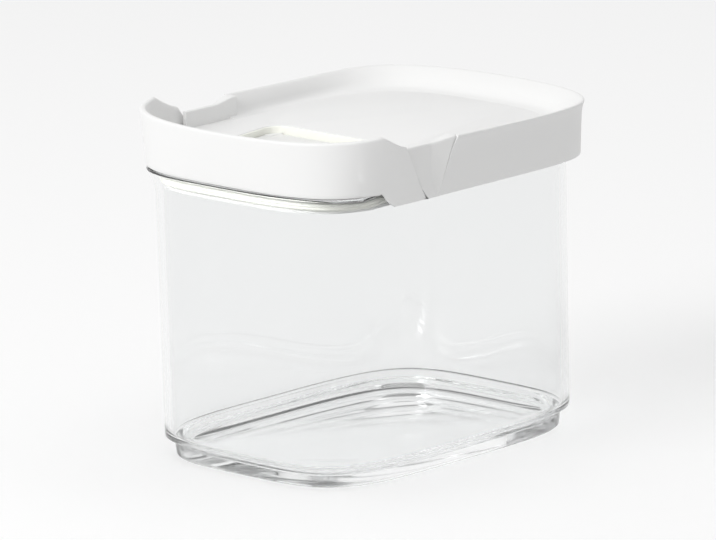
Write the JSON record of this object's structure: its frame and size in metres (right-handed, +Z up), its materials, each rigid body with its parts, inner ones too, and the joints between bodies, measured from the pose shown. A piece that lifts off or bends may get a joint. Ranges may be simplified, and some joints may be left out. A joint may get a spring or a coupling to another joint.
{
  "type": "food keeper with flip spout",
  "caption": "Low clear food keeper with a white lid: a pouring flap hinged in the lid, finger scoops at the sides, seals and a foot for stacking.",
  "frame": {"origin": "middle of the footprint on the table, below the middle of the whole keeper's box", "axes": "+Z up, -Y towards the pouring side, +Y towards the back, +X to the right seen from the pouring side"},
  "size_m": [0.1238, 0.1614, 0.1357],
  "materials": {
    "clear_jar": "clear moulded plastic, polished",
    "white_lid": "white moulded plastic, fine satin",
    "white_flap": "white moulded plastic, fine satin",
    "seal": "soft translucent silicone, matt"
  },
  "bodies": {
    "jar": {"container_body": "clear_jar"},
    "lid": {"lid_frame": "white_lid", "lid_seal": "seal", "spout_seal": "seal"},
    "flap": {"flip_flap": "white_flap"}
  },
  "joints": [
    {"name": "lid_lift", "type": "slide", "parent": "jar", "child": "lid", "axis": [0, 0, 1], "range_m": [0, 0.06]},
    {"name": "flap_hinge", "type": "hinge", "parent": "lid", "child": "flap", "pos_m": [0, -0.016, 0.1168], "axis": [-1, 0, 0], "range_deg": [0, 90]}
  ]
}
